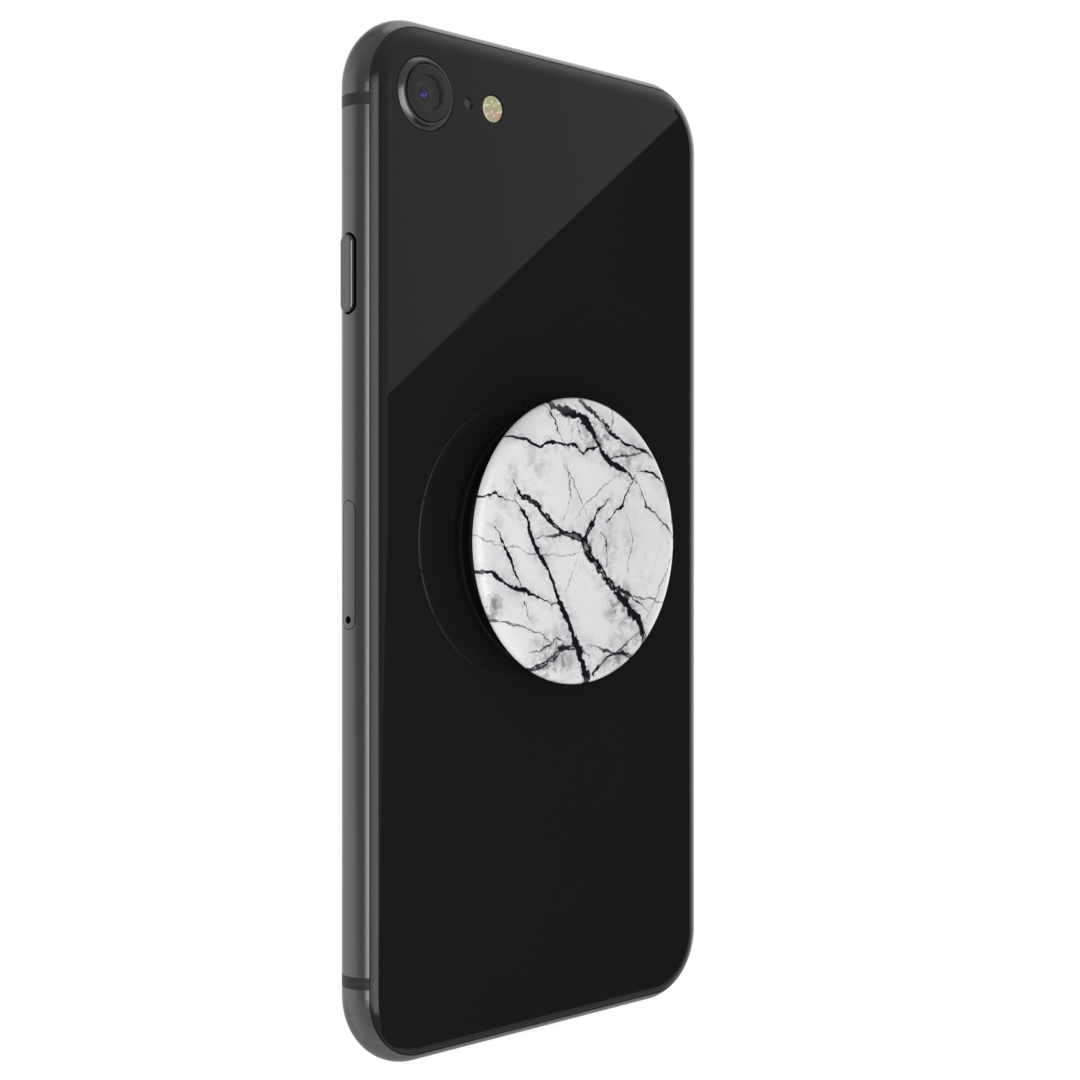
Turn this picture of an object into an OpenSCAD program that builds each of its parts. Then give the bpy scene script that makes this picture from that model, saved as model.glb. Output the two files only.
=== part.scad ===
// Glass-backed smartphone, standing upright, with a folding grip on its back.
// Row frame: +Z up along the phone, the screen faces -Y, the back faces +Y and
// the side button is on the +X side. The origin is the middle of the bottom edge.
// The parts are drawn lying down, x across, y up the phone and z to the screen,
// and stand() turns them upright.

/* [Body] */
// Width across the two long sides
body_w = 67.3; // [66.5:0.1:72]
// Height from the bottom edge to the top edge
body_h = 138.4; // [138:0.1:146]
// Thickness between the two glass faces; the sides are rounded over all of it
body_t = 7.3; // [7.2:0.05:7.6]
// Corner radius of the outline
corner_r = 10; // [9.5:0.1:10.5]
// Wall of the frame, from its outer side to the cavity
wall = 2.4; // [2.3:0.05:2.5]
// Thickness of the cover glass and of the rear glass
glass_t = 0.62; // [0.6:0.01:0.64]
// Thickness of the polymer seal between the frame and each glass
seal_t = 0.25; // [0.23:0.01:0.27]

/* [Antenna bands] */
// Distance from either end of the phone to the middle of its bands
band_pos = 12; // [11.5:0.1:13]
// Width of a band
band_w = 1.6; // [1:0.1:2]

/* [Side keys] */
// Distance from the top edge to the middle of the side button
side_key_pos = 34.5; // [33:0.1:36]
// Distance from the middle of the volume up button to the volume down button
volume_pitch = 12.4; // [12.2:0.1:13]
// Distance from the top edge to the middle of the mute switch
mute_pos = 21.8; // [21:0.1:22.5]
// Length of a key cap
key_len = 10.2; // [9.6:0.1:10.4]
// Width of a key cap
key_w = 2.3; // [2:0.1:2.4]
// How far a key cap stands out of the frame
key_proud = 0.5; // [0.3:0.05:0.6]
// Clear gap round a key cap in its slot
key_gap = 0.22; // [0.15:0.01:0.25]

/* [SIM tray] */
// Distance from the top edge to the middle of the tray
tray_pos = 72.3; // [71:0.1:74]
// Length of the tray's face
tray_len = 16.6; // [16:0.1:17]
// Width of the tray's face
tray_w = 2.3; // [2:0.1:2.4]
// Gap round the tray's face
tray_gap = 0.1; // [0.06:0.01:0.15]
// Distance from the tray's lower end to the eject hole
pin_inset = 1.2; // [1.1:0.05:1.3]
// Radius of the eject hole
pin_r = 0.5; // [0.4:0.05:0.55]

/* [Rear camera] */
// Distance of the camera's middle from the side and from the top edge
camera_inset = 10.15; // [10.1:0.05:10.4]
// Outer radius of the camera's metal ring
camera_r = 5; // [4.9:0.05:5.1]
// How far the ring stands out of the rear glass
camera_proud = 0.62; // [0.5:0.01:0.7]
// How far the camera's window stands out of the ring
window_proud = 0.18; // [0.1:0.01:0.2]
// Distance of the microphone hole from the phone's middle line
mic_x = 15.65; // [15.4:0.05:15.8]
// Distance of the flash from the phone's middle line
flash_x = 11.1; // [10.9:0.05:11.3]
// Radius of the flash lens
flash_r = 1.82; // [1.7:0.01:1.9]

/* [Front] */
// Height of the home button's middle above the bottom edge
home_y = 9.3; // [9.2:0.05:9.4]
// Outer radius of the home button's ring
home_r = 5.45; // [5.2:0.05:5.5]
// Distance of the earpiece's middle from the top edge
earpiece_pos = 8.3; // [8:0.1:8.6]
// Width of the display panel
panel_w = 60; // [58:0.5:61]
// Height of the display panel
panel_h = 107; // [104:0.5:107]

/* [Bottom edge] */
// Width of the charge port's mouth
port_w = 8.34; // [8.3:0.01:8.4]
// Height of the charge port's mouth
port_t = 2.56; // [2.5:0.01:2.6]
// Number of holes in each of the two rows
hole_count = 6; // [4:1:6]
// Distance between two holes of a row
hole_pitch = 2.3; // [2.1:0.05:2.3]
// Radius of a hole
hole_r = 0.75; // [0.6:0.05:0.8]

/* [Grip] */
// Radius of the grip's top
grip_r = 19.87; // [19:0.01:20.5]
// Radius of the grip's base
grip_base_r = 18.2; // [18:0.1:18.6]
// Height of the folded grip above the rear glass
grip_h = 6.6; // [6.5:0.05:7]

/* [Hidden] */
$fn = 96;

// Depth levels, from the middle plane, positive to the screen
half_w = body_w / 2;
half_t = body_t / 2;
glass_z = half_t - glass_t;
frame_z = glass_z - seal_t;
cavity_x = half_w - wall;
plate_z = -2.45;
plate_t = 0.4;
floor_z = plate_z + plate_t;
panel_t = 1.1;
shield_t = 0.3;
fit = 0.05;
slip = 0.02;
through = 1;
seam_groove = 0.07;

// Front: the home button, the earpiece and the camera beside it
home_ring_w = 0.43;
home_sunk = 0.1;
home_foot_r = 5.8;
home_foot_t = 0.38;
earpiece = [10.8, 1.5];
earpiece_sunk = 0.3;
mesh_t = 0.15;
receiver = [13.2, 4.4, 1.8];
front_camera_x = -10.5;
front_camera_case = [6, 6, 2.5];
front_camera_top = 2.7;
front_camera_r = 1.6;

// Side keys
key_y = body_h - side_key_pos;
volume_down_y = key_y - volume_pitch;
mute_y = body_h - mute_pos;
pocket_d = 1.1;
shoulder_x = cavity_x + pocket_d;
flange_t = 0.6;
flange_len = 11.2;
flange_w = 3.3;
flange_gap = 0.2;
key_edge = 0.35;
stem_r = 0.6;
stem_x = 30.65;
dome_x = 30.3;
bracket_x = 29;
bracket_t = 0.4;
bracket_leg = 0.8;
bracket_w = 2.7;
bracket_reach = [7.4, 7];
dome_r = 1.3;

// Mute switch
mute_slot = [5.8, 2.9];
mute_cap = [4.8, 1.6];
mute_shift = 0.5;
mute_proud = 0.25;
mute_edge = 0.25;
mute_pin = 0.8;
mute_pin_x = 29.8;
mute_case_t = 1.4;
mute_channel = [1.3, 2.1];
mute_floor = 0.5;
mute_flange = [6.6, 3.5];
mute_pocket = [7, 4.7];
mute_half = 4.7;

// SIM tray
tray_y = body_h - tray_pos;
blade_x = 14.2;
blade_t = 0.9;
blade_low = 2.4;
blade_high = 0.6;
sim = [12.3, 8.8, 0.67];
sim_at = [15.5, 62.7];
sim_sunk = 0.7;
reader_wall = 0.35;
reader_gap = 0.15;
reader_back = 0.8;

// Rear camera: heights above the rear glass, positive outwards
camera_x = half_w - camera_inset;
camera_y = body_h - camera_inset;
window_r = 3.75;
window_edge = 0.06;
window_low = 0.15;
window_top = camera_proud + window_proud;
window_flange_r = 4.1;
window_flange_t = 0.2;
barrel_r = 3.3;
barrel_top = -0.15;
barrel_bottom = -4.15;
module_size = 10.4;
module_top = -1;
module_bottom = -5;
lens_r = 1.88;
lens_t = 2.4;
lens_sunk = 0.9;
funnel_wall = 0.35;
sleeve_r = 4.75;
bezel_bore = 3.6;
bezel_chamfer = 0.1;
module_window = 10.7;
barrel_gap = 0.15;
sensor = [7.2, 5.6, 0.5];
sensor_seat = [7.6, 6, 0.7];
flash_window = [8.6, 5.2];
flash_window_x = 8.6;
emitter = [3.2, 3.2, 0.6];
flash_gap = 0.15;
mic_r = 0.78;
rear_mic = [2.6, 3.2, 1.1];
rear_mesh_sunk = 0.4;

// Boards and battery
board_t = 0.8;
board_low = 44;
board_right = 28.4;
board_left = 11;
board_arm = [-27, 116.8, 121.5];
battery_at = [-28, 24.4];
battery_size = [37.8, 90.8, 3.1];
battery_gap = 0.2;
adhesive_size = [6, 78];
adhesive_x = [-24, 0];
adhesive_inset = 6;
screw_r = 0.6;
screw_head_r = 1.1;
screw_head_t = 0.4;
screw_cross = [1.2, 0.25];
screws = [[12.8, 46], [26.6, 46], [26.6, 76.2], [26.6, 119.6], [12.8, 119.6], [-25, 119.2]];
// Each can is [where it starts, its size]
shield_cans = [
    [[14.6, 47.6], [12, 9.6, 1.6]],
    [[14.6, 78], [11.4, 19.5, 1.8]],
    [[14.6, 99.5], [12.6, 15.5, 1.8]],
    [[-22, 117.4], [30, 3.5, 1.4]]
];

// Bottom edge
row_x = 10.6;
port_lip = 0.8;
port_deep = 7.6;
port_shell = 0.4;
port_back = 0.6;
tongue = [6.7, 5.3, 0.7];
tongue_y = 1.7;
contact = [0.3, 3.6, 0.05];
contact_y = 2.2;
contact_pitch = 0.7;
screw_x = 6.9;
case_screw_r = 0.5;
case_screw_len = 1.4;
case_screw_seat = 0.9;
case_screw_head_r = 0.76;
case_screw_head_t = 0.6;
socket_r = 0.22;
socket_lobe_r = 0.12;
socket_lobe_at = 0.28;
mic_size = [3.6, 1.3, 2.4];
mic_at = [-20, -14.6];
motor_at = [-29.3, 5.4];
motor_size = [20, 14, 3.2];
motor_skin = 0.4;
mass_size = [14.5, 12.4, 2];
speaker_x = 8.6;
speaker_inset = 1.8;
speaker_size = [20.8, 17.4, 3.2];
speaker_mouth = [13.4, 2.6, 1.8];
speaker_mouth_x = 10;
flex_t = 0.15;
flex_w = 6;
flex_y = 22.2;
flex_arm = [16.5, 1.4];
flex_tail_w = 2.5;

// Charging coil
coil_t = 0.24;
coil_r = 8.4;
coil_turn_w = 1;
coil_pitch = 1.25;
coil_turns = 9;
ferrite_r = 21;

// Grip: heights above the rear glass
pad_t = 0.45;
base_top = 1.15;
base_edge = 0.25;
pad_inset = 0.3;
lower_r = 16.8;
lower_top = 2.9;
upper_low = 1.55;
upper_top = 3.1;
bellows_t = 0.5;
bellows_gap = 0.1;
mid_ring_at = [1.45, 3];
button_foot_at = [1.35, 3.2];
button_r = 6.4;
button_flange_r = 7;
mid_ring_r = [11.5, 12.4];
flange_low = 4.5;
flange_high = 4.8;
top_low = 3.9;
insert_low = 5.2;
insert_edge = 0.6;
shell_in = [1.3, 0.5];
turn_gap = 0.1;
weld = 0.01;

// ---- placing ----

// Turns a part drawn lying down so that it stands on its bottom edge.
module stand() {
    rotate([90, 0, 0]) children();
}

// Height axis to +x, length axis to y, width axis to z.
module outward() {
    rotate([90, 0, 90]) children();
}

// Draws on the right side, or mirrored on the left side.
module on_side(side, y) {
    translate([0, y, 0]) mirror([side < 0 ? 1 : 0, 0, 0]) children();
}

// The children's +z leads out of the back, from the face of the rear glass.
module on_back(x, y) {
    translate([x, y, -half_t]) rotate([180, 0, 0]) children();
}

// The children's +z leads out of the bottom edge.
module on_bottom(x, y) {
    translate([x, y, 0]) rotate([90, 0, 0]) children();
}

// ---- shapes ----

module stadium(len, w) {
    square([len - w, w], center = true);
    for (s = [-1, 1]) translate([s * (len - w) / 2, 0]) circle(w / 2);
}

// A plate with round corners in plan. at and size are [x, y] and [x, y, z].
module plate(at, size, z, r) {
    translate([at[0] + size[0] / 2, at[1] + size[1] / 2, z])
        linear_extrude(size[2]) {
            square([size[0], size[1] - 2 * r], center = true);
            square([size[0] - 2 * r, size[1]], center = true);
            for (sx = [-1, 1], sy = [-1, 1])
                translate([sx * (size[0] / 2 - r), sy * (size[1] / 2 - r)]) circle(r);
        }
}

module tube(r_out, r_in, low, high) {
    rotate_extrude() translate([r_in, low]) square([r_out - r_in, high - low]);
}

module disc(r, low, high) {
    translate([0, 0, low]) cylinder(r = r, h = high - low);
}

// Half of a pill's cross-section, with its outer edge rounded to radius e.
module pill_half(r, h, e) {
    intersection() {
        square([r, h]);
        union() {
            square([r - e, h]);
            square([r, h - e]);
            translate([r - e, h - e]) circle(e);
        }
    }
}

// A key cap: a long rounded button with a rounded outer edge.
module pill(len, w, h, e) {
    run = len - w;
    translate([-run / 2, 0, 0]) rotate([90, 0, 90]) linear_extrude(run) {
        pill_half(w / 2, h, e);
        mirror([1, 0]) pill_half(w / 2, h, e);
    }
    for (s = [-1, 1])
        translate([s * run / 2, 0, 0]) rotate([0, 0, -90 * s])
            rotate_extrude(angle = 180) pill_half(w / 2, h, e);
}

// The phone's rounded side. x is measured outwards from the corner centres.
module rim(from, z0, z1) {
    intersection() {
        union() {
            translate([corner_r - half_t, 0]) circle(half_t);
            translate([0, -half_t]) square([corner_r - half_t, body_t]);
        }
        translate([from, z0]) square([corner_r - from, z1 - z0]);
    }
}

// The side's profile with a fine groove cut along each seam, on both sides of the seals.
module grooved_rim(from, z0, z1) {
    difference() {
        rim(from, z0, z1);
        for (z = [-glass_z, -frame_z, frame_z, glass_z])
            translate([corner_r - half_t + sqrt(half_t * half_t - z * z), z])
                rotate(asin(z / half_t) + 45) square(seam_groove, center = true);
    }
}

// Sweeps a side's profile round the whole outline.
module around() {
    translate([0, body_h / 2, 0]) for (i = [0:3]) {
        across = (i % 2 == 0 ? body_w : body_h) / 2 - corner_r;
        run = (i % 2 == 0 ? body_h : body_w) - 2 * corner_r;
        rotate([0, 0, 90 * i]) translate([across, run / 2, 0]) {
            rotate([90, 0, 0]) linear_extrude(run) children();
            rotate_extrude(angle = 90) children();
        }
    }
}

// The whole phone's outline between two depths, with its rounded sides.
module full_slab(z0, z1) {
    around() grooved_rim(0, z0, z1);
    translate([corner_r - half_w, corner_r, z0])
        cube([body_w - 2 * corner_r, body_h - 2 * corner_r, z1 - z0]);
}

// The outline with upright sides, drawn in by inset.
module inner_slab(inset, z0, z1) {
    plate([inset - half_w, inset], [body_w - 2 * inset, body_h - 2 * inset, z1 - z0], z0,
          corner_r - inset);
}

// A straight stretch of one long side of the frame.
module rail(y0, y1) {
    translate([half_w - corner_r, y1, 0]) rotate([90, 0, 0])
        linear_extrude(y1 - y0) grooved_rim(corner_r - wall, -frame_z, frame_z);
}

module ring_end(y0, y1) {
    intersection() {
        around() grooved_rim(corner_r - wall, -frame_z, frame_z);
        translate([-half_w, y0, -frame_z]) cube([body_w, y1 - y0, 2 * frame_z]);
    }
}

// ---- cutters in the frame ----

module key_slot() {
    translate([cavity_x - fit, 0, 0]) outward() {
        linear_extrude(2 * wall) stadium(key_len + 2 * key_gap, key_w + 2 * key_gap);
        translate([0, 0, (pocket_d + fit) / 2])
            cube([flange_len + 2 * flange_gap, flange_w + 2 * flange_gap, pocket_d + fit],
                 center = true);
    }
}

module mute_cut() {
    translate([cavity_x - fit, 0, 0]) outward() {
        linear_extrude(2 * wall) stadium(mute_slot[0], mute_slot[1]);
        translate([0, 0, (pocket_d + fit) / 2])
            cube([mute_pocket[0], mute_pocket[1], pocket_d + fit], center = true);
    }
}

module tray_slot() {
    translate([cavity_x - fit, 0, 0]) outward()
        linear_extrude(2 * wall) stadium(tray_len + 2 * tray_gap, tray_w + 2 * tray_gap);
}

module hole_row(side) {
    for (i = [0:hole_count - 1])
        on_bottom(side * (row_x + i * hole_pitch), wall + fit) cylinder(r = hole_r, h = 2 * wall);
}

// ---- frame ----

module frame_top() {
    color("#66676b") stand() ring_end(body_h - band_pos + band_w / 2, body_h);
}

module frame_bottom() {
    color("#66676b") stand() difference() {
        ring_end(0, band_pos - band_w / 2);
        on_bottom(0, wall + fit) linear_extrude(2 * wall) stadium(port_w, port_t);
        on_bottom(0, wall + fit) linear_extrude(wall + fit - port_lip)
            stadium(port_w + 2 * port_shell, port_t + 2 * port_shell);
        for (s = [-1, 1]) {
            hole_row(s);
            on_bottom(s * screw_x, wall + fit)
                cylinder(r = case_screw_r + slip, h = 2 * wall);
            on_bottom(s * screw_x, case_screw_seat)
                cylinder(r = case_screw_head_r + 2 * slip, h = wall);
        }
    }
}

module frame_right_rail() {
    color("#66676b") stand() difference() {
        rail(band_pos + band_w / 2, body_h - band_pos - band_w / 2);
        on_side(1, key_y) key_slot();
        on_side(1, tray_y) tray_slot();
    }
}

module frame_left_rail() {
    color("#66676b") stand() difference() {
        mirror([1, 0, 0]) rail(band_pos + band_w / 2, body_h - band_pos - band_w / 2);
        on_side(-1, key_y) key_slot();
        on_side(-1, volume_down_y) key_slot();
        on_side(-1, mute_y) mute_cut();
    }
}

module antenna_bands() {
    color("#3b3b3d") stand() for (s = [0, 1], end = [0, 1]) mirror([s, 0, 0]) {
        middle = end == 0 ? band_pos : body_h - band_pos;
        rail(middle - band_w / 2, middle + band_w / 2);
    }
}

module chassis_plate() {
    color("#8d8f94") stand() difference() {
        inner_slab(wall, plate_z, floor_z);
        plate([camera_x - module_window / 2, camera_y - module_window / 2],
              [module_window, module_window, through], plate_z - fit, 0.5);
        plate([flash_window_x, camera_y - flash_window[1] / 2],
              [flash_window[0], flash_window[1], through], plate_z - fit, 1);
        for (p = screws) translate([p[0], p[1], plate_z - fit])
            cylinder(r = screw_r + slip, h = through);
    }
}

// ---- back ----

module rear_gasket() {
    color("#141415") stand() around() grooved_rim(corner_r - wall, -glass_z, -frame_z);
}

module rear_glass() {
    color("#1b1b1d") stand() difference() {
        full_slab(-half_t, -glass_z);
        on_back(camera_x, camera_y) disc(sleeve_r + fit, -2 * glass_t, through);
        on_back(flash_x, camera_y) disc(flash_r + flash_gap, -2 * glass_t, through);
        on_back(mic_x, camera_y) disc(mic_r, -2 * glass_t, through);
    }
}

// ---- front ----

module display_bezel() {
    color("#141415") stand() around() grooved_rim(corner_r - wall, frame_z, glass_z);
}

module display_shield() {
    color("#a5a7aa") stand()
        plate([-panel_w / 2, (body_h - panel_h) / 2], [panel_w, panel_h, shield_t],
              glass_z - panel_t - shield_t, 1);
}

module display_panel() {
    color("#0d0e12") stand()
        plate([-panel_w / 2, (body_h - panel_h) / 2], [panel_w, panel_h, panel_t],
              glass_z - panel_t, 0.6);
}

module cover_glass() {
    color("#101114") stand() difference() {
        full_slab(glass_z, half_t);
        translate([0, home_y, glass_z - fit]) cylinder(r = home_r + fit, h = 2 * glass_t);
        translate([0, body_h - earpiece_pos, glass_z - fit])
            linear_extrude(2 * glass_t) stadium(earpiece[0], earpiece[1]);
    }
}

// A still touch button: a cap with a shallow dish, on a wider foot under the glass.
module home_button() {
    dish = 0.15;
    dish_r = 74;
    face = half_t - home_sunk;
    foot = glass_z - slip;
    color("#17181b") stand() translate([0, home_y, 0]) {
        difference() {
            disc(home_r - home_ring_w - slip, foot, face);
            translate([0, 0, face - dish + dish_r]) sphere(dish_r, $fn = 300);
        }
        disc(home_foot_r, foot - home_foot_t, foot);
    }
}

module home_button_ring() {
    color("#77797d") stand() translate([0, home_y, 0])
        tube(home_r, home_r - home_ring_w, glass_z - slip, half_t);
}

module earpiece_mesh() {
    color("#2a2b2e") stand()
        translate([0, body_h - earpiece_pos, half_t - earpiece_sunk - mesh_t])
            linear_extrude(mesh_t) stadium(earpiece[0] - 2 * slip, earpiece[1] - 2 * slip);
}

module earpiece_speaker() {
    color("#55565a") stand()
        plate([-receiver[0] / 2, body_h - earpiece_pos - receiver[1] / 2], receiver,
              glass_z - receiver[2], 0.6);
}

module front_camera() {
    case = front_camera_case;
    color("#232428") stand() translate([front_camera_x, body_h - earpiece_pos, 0]) {
        plate([-case[0] / 2, -case[1] / 2], case, front_camera_top - case[2], 0.5);
        disc(front_camera_r, front_camera_top, glass_z);
    }
}

// ---- rear camera and flash ----

// A ring rounded from its outer edge to its crest, with a chamfer round the window.
module camera_bezel() {
    seat_r = window_flange_r + slip;
    color("#4a4b4f") stand() on_back(camera_x, camera_y) difference() {
        union() {
            rotate_extrude() pill_half(camera_r, camera_proud, camera_proud - slip);
            disc(sleeve_r, module_top, fit);
        }
        disc(seat_r, window_low, camera_proud + fit);
        translate([0, 0, camera_proud - bezel_chamfer])
            cylinder(r1 = seat_r, r2 = seat_r + 2 * bezel_chamfer, h = 2 * bezel_chamfer);
        disc(bezel_bore, 2 * module_top, camera_proud);
    }
}

// A glass disc on a wider foot, which the ring's seat holds.
module camera_window() {
    color("#0b0c10") stand() on_back(camera_x, camera_y) {
        disc(window_flange_r, window_low, window_low + window_flange_t);
        rotate_extrude() translate([0, window_low])
            pill_half(window_r, window_top - window_low, window_edge);
    }
}

// The focusing barrel, with a funnel down to its lens.
module camera_lens_barrel() {
    color("#1a1a1d") stand() on_back(camera_x, camera_y) difference() {
        disc(barrel_r, barrel_bottom, barrel_top);
        disc(lens_r + slip, barrel_bottom - through, 0);
        translate([0, 0, barrel_top - through])
            cylinder(r1 = lens_r, r2 = barrel_r - funnel_wall, h = through + weld);
    }
}

module camera_lens() {
    crown = 2.6;
    color("#1b1c3a") stand() on_back(camera_x, camera_y) intersection() {
        disc(lens_r, barrel_top - lens_t, 0);
        translate([0, 0, barrel_top - lens_sunk - crown]) sphere(crown);
    }
}

module camera_module() {
    half = module_size / 2;
    color("#8b8d90") stand() on_back(camera_x, camera_y) difference() {
        plate([-half, -half], [module_size, module_size, module_top - module_bottom],
              module_bottom, 0.4);
        disc(barrel_r + barrel_gap, barrel_bottom - 2 * fit, 0);
        translate([0, 0, barrel_bottom - sensor_seat[2] / 2]) cube(sensor_seat, center = true);
    }
}

module camera_sensor() {
    color("#5a4a78") stand() on_back(camera_x, camera_y)
        translate([-sensor[0] / 2, -sensor[1] / 2, barrel_bottom - sensor_seat[2]])
            cube(sensor);
}

module flash_lens() {
    color("#e8dc96") stand() on_back(flash_x, camera_y) disc(flash_r, -glass_t, 0);
}

module flash_led() {
    color("#d8b83c") stand() on_back(flash_x, camera_y)
        translate([-emitter[0] / 2, -emitter[1] / 2, -glass_t - emitter[2]]) cube(emitter);
}

module microphones() {
    color("#b9a25a") stand() {
        for (x = mic_at) plate([x, wall + 5 * fit], mic_size, -mic_size[2] / 2, 0.2);
        plate([mic_x - rear_mic[0] / 2, camera_y - rear_mic[1] / 2], rear_mic, -glass_z, 0.2);
    }
}

// ---- side keys ----

module key(side, y) {
    cap_h = half_w + key_proud - shoulder_x + fit;
    on_side(side, y) {
        translate([shoulder_x - fit, 0, 0]) outward() pill(key_len, key_w, cap_h, key_edge);
        translate([shoulder_x - fit - flange_t, -flange_len / 2, -flange_w / 2])
            cube([flange_t, flange_len, flange_w]);
        translate([stem_x, 0, 0]) rotate([0, 90, 0])
            cylinder(r = stem_r, h = shoulder_x - flange_t - stem_x);
    }
}

// A spring bracket on two legs, with a click dome behind each key.
module key_bracket(side, low, high, domes) {
    on_side(side, 0) {
        translate([bracket_x, low, -bracket_w / 2]) cube([bracket_t, high - low, bracket_w]);
        for (y = [low, high - bracket_leg]) translate([bracket_x, y, -bracket_w / 2])
            cube([cavity_x - bracket_x, bracket_leg, bracket_w]);
        for (y = domes) translate([bracket_x + bracket_t - weld, y, 0]) rotate([0, 90, 0])
            cylinder(r = dome_r, h = dome_x - bracket_x - bracket_t + weld);
    }
}

module side_button() {
    color("#5a5b5f") stand() key(1, key_y);
}

module side_key_switch() {
    color("#c3c4c7") stand()
        key_bracket(1, key_y - bracket_reach[0], key_y + bracket_reach[0], [key_y]);
}

module volume_up_button() {
    color("#5a5b5f") stand() key(-1, key_y);
}

module volume_down_button() {
    color("#5a5b5f") stand() key(-1, volume_down_y);
}

module volume_key_switches() {
    color("#c3c4c7") stand()
        key_bracket(-1, volume_down_y - bracket_reach[1], key_y + bracket_reach[1],
                    [volume_down_y, key_y]);
}

// The toggle stands on a flange that fills the slot behind it, with a stem into the switch.
module mute_switch() {
    cap_h = half_w + mute_proud - shoulder_x + fit;
    color("#5a5b5f") stand() on_side(-1, mute_y) translate([0, 0, mute_shift]) {
        translate([shoulder_x - fit, 0, 0]) outward()
            pill(mute_cap[0], mute_cap[1], cap_h, mute_edge);
        translate([shoulder_x - fit - flange_t, -mute_flange[0] / 2, -mute_flange[1] / 2])
            cube([flange_t, mute_flange[0], mute_flange[1]]);
        translate([mute_pin_x, -mute_pin / 2, -mute_pin / 2])
            cube([shoulder_x - flange_t - mute_pin_x, mute_pin, mute_pin]);
    }
}

module mute_slide_switch() {
    color("#2c2d30") stand() on_side(-1, mute_y) difference() {
        union() {
            translate([bracket_x, -mute_half, -bracket_w / 2])
                cube([mute_case_t, 2 * mute_half, bracket_w]);
            for (y = [-mute_half, mute_half - bracket_leg])
                translate([bracket_x, y, -bracket_w / 2])
                    cube([cavity_x - bracket_x, bracket_leg, bracket_w]);
        }
        translate([bracket_x + mute_floor, -mute_channel[0] / 2, -mute_channel[1] / 2])
            cube([mute_case_t, mute_channel[0], mute_channel[1]]);
    }
}

// ---- SIM tray ----

module sim_tray() {
    low = tray_y - tray_len / 2;
    high = tray_y + tray_len / 2;
    color("#606165") stand() difference() {
        union() {
            intersection() {
                rail(low, high);
                translate([cavity_x, tray_y, 0]) outward()
                    linear_extrude(2 * wall) stadium(tray_len, tray_w);
            }
            translate([blade_x, low + blade_low, -blade_t / 2])
                cube([cavity_x - blade_x, high - low - blade_low - blade_high, blade_t]);
        }
        translate([sim_at[0] - fit, sim_at[1] - fit, blade_t / 2 - sim_sunk])
            cube([sim[0] + 2 * fit, sim[1] + 2 * fit, through]);
        translate([cavity_x - through, low + pin_inset, 0]) rotate([0, 90, 0])
            cylinder(r = pin_r, h = 3 * wall);
    }
}

module sim_card() {
    color("#e6e6e2") stand()
        translate([sim_at[0], sim_at[1], blade_t / 2 - sim_sunk]) cube(sim);
}

module sim_reader() {
    low = tray_y - tray_len / 2 + blade_low - reader_gap;
    high = tray_y + tray_len / 2 - blade_high + reader_gap;
    inside_z = blade_t / 2 + reader_gap;
    reader_x = blade_x - reader_back;
    color("#b5b6b8") stand() difference() {
        translate([reader_x, low - reader_wall, floor_z + board_t])
            cube([cavity_x - reader_gap - reader_x, high - low + 2 * reader_wall,
                  inside_z + reader_wall - floor_z - board_t]);
        translate([blade_x - reader_back / 2, low, -inside_z])
            cube([cavity_x - blade_x + through, high - low, 2 * inside_z]);
    }
}

// ---- battery and boards ----

module battery() {
    color("#1c1d20") stand() plate(battery_at, battery_size, floor_z + battery_gap, 1.2);
}

module battery_adhesive() {
    strip = [adhesive_size[0], adhesive_size[1], battery_gap];
    color("#d9d9d6") stand() for (x = adhesive_x)
        plate([x, battery_at[1] + adhesive_inset], strip, floor_z, 0.5);
}

module logic_board() {
    color("#14314a") stand() difference() {
        translate([0, 0, floor_z]) linear_extrude(board_t) polygon([
            [board_left, board_low], [board_right, board_low], [board_right, board_arm[2]],
            [board_arm[0], board_arm[2]], [board_arm[0], board_arm[1]],
            [board_left, board_arm[1]]
        ]);
        for (p = screws) translate([p[0], p[1], floor_z - fit])
            cylinder(r = screw_r + slip, h = through);
    }
}

module board_shields() {
    color("#a9abae") stand() for (can = shield_cans)
        plate(can[0], can[1], floor_z + board_t, 0.5);
}

module bracket_screws() {
    z = floor_z + board_t;
    color("#b8b9bc") stand() for (p = screws) translate([p[0], p[1], z]) {
        difference() {
            cylinder(r = screw_head_r, h = screw_head_t);
            for (a = [0, 90]) rotate([0, 0, a]) translate([0, 0, screw_head_t])
                cube([screw_cross[0], screw_cross[1], screw_head_t], center = true);
        }
        translate([0, 0, plate_z - z]) cylinder(r = screw_r, h = z - plate_z + weld);
    }
}

module vibration_motor() {
    skin = motor_skin;
    color("#8e9093") stand() difference() {
        plate(motor_at, motor_size, floor_z, 1);
        translate([motor_at[0] + skin, motor_at[1] + skin, floor_z + skin])
            cube(motor_size - 2 * [skin, skin, skin]);
    }
}

module vibration_mass() {
    spare = (motor_size - mass_size) / 2;
    color("#6f6452") stand()
        translate([motor_at[0] + spare[0], motor_at[1] + spare[1], floor_z + spare[2]])
            cube(mass_size);
}

module loudspeaker() {
    color("#26272a") stand() difference() {
        intersection() {
            plate([speaker_x, wall + speaker_inset], speaker_size, floor_z, 1);
            inner_slab(wall + 4 * fit, -half_t, half_t);
        }
        translate([speaker_mouth_x, wall + through, -speaker_mouth[2] / 2])
            cube(speaker_mouth);
    }
}

// Fine mesh behind both rows of holes and in the microphone hole of the rear glass.
module acoustic_meshes() {
    color("#0f0f10") stand() {
        for (s = [-1, 1]) on_side(s, 0) intersection() {
            translate([row_x - hole_pitch / 2, wall, -hole_pitch / 2])
                cube([hole_count * hole_pitch, mesh_t, hole_pitch]);
            inner_slab(wall, -half_t, half_t);
        }
        on_back(mic_x, camera_y) disc(mic_r - slip, -rear_mesh_sunk - mesh_t, -rear_mesh_sunk);
    }
}

// ---- charge port ----

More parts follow.
